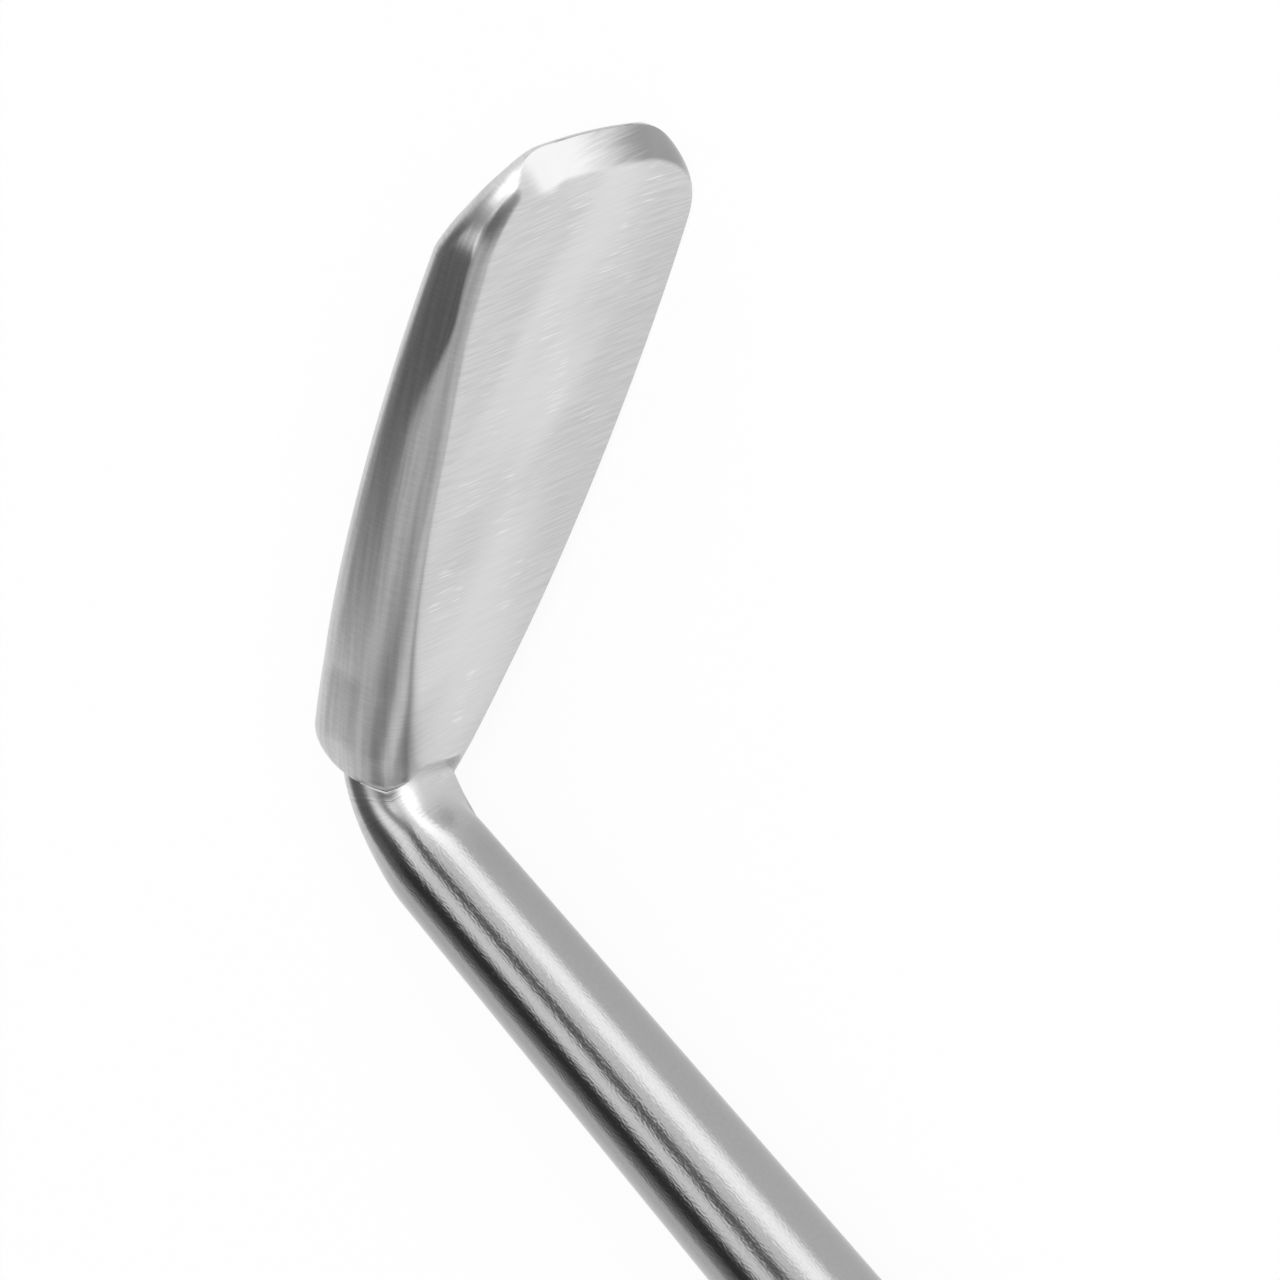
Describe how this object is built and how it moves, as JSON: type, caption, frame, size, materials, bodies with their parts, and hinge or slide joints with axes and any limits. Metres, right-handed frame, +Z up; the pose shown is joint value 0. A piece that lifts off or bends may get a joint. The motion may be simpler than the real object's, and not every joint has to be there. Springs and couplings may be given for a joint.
{
  "type": "palate elevator",
  "caption": "Surgical elevator: flared paddle blade with a blunt rounded tip, set at an angle on a bent neck, tapering shank and plain round handle.",
  "frame": {"origin": "centre of the bounding box's underside, on the surface the instrument lies on", "axes": "+X along the handle from its domed end towards the blade, -Y the way the blade points, +Z up; the bend lies nearly flat"},
  "size_m": [0.1914, 0.025, 0.0104],
  "materials": {
    "satin_steel": "satin stainless steel, cross-ground on the blade and drawn lengthwise on the shank and handle"
  },
  "bodies": {
    "root": {"palate_elevator": "satin_steel"}
  },
  "joints": []
}
